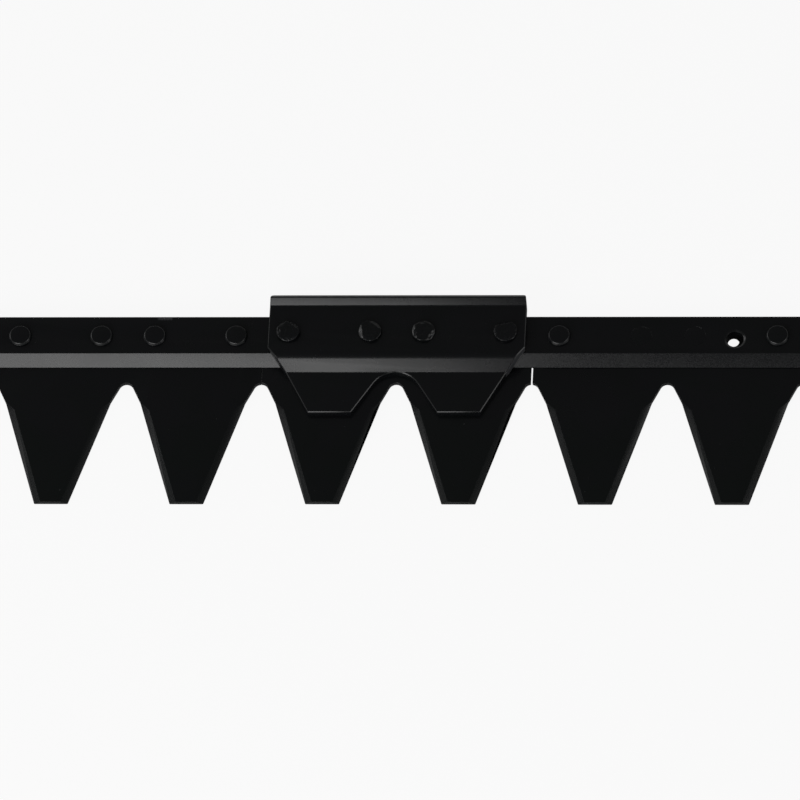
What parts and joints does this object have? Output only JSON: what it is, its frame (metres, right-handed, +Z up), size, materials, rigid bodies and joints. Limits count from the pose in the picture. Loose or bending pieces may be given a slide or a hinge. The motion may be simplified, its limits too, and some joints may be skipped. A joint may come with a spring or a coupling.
{
  "type": "mower blade",
  "caption": "Black steel mower knife: blunt-tipped double sections with ground flanks, riveted under a bevelled back bar, and a folded head plate over the middle.",
  "frame": {"origin": "middle of the underside's outline, half way between the tooth tips and the rear of the lip", "axes": "+X along the knife, -Y the way the teeth point, +Z up from the sections to the head plate"},
  "size_m": [0.432, 0.1164, 0.0155],
  "materials": {
    "section_paint": "worn gloss black paint",
    "back_paint": "worn gloss black paint",
    "plate_paint": "worn gloss black paint",
    "rivet_paint": "worn gloss black paint"
  },
  "bodies": {
    "root": {"knife_back": "back_paint", "head_plate": "plate_paint", "section_left": "section_paint", "section_middle": "section_paint", "section_right": "section_paint", "left_rivet_1": "rivet_paint", "head_rivet_1": "rivet_paint", "left_rivet_2": "rivet_paint", "head_rivet_2": "rivet_paint", "left_rivet_3": "rivet_paint", "head_rivet_3": "rivet_paint", "left_rivet_4": "rivet_paint", "head_rivet_4": "rivet_paint", "right_rivet_1": "rivet_paint", "right_rivet_2": "rivet_paint", "right_flush_rivet_1": "rivet_paint", "right_flush_rivet_2": "rivet_paint"}
  },
  "joints": []
}
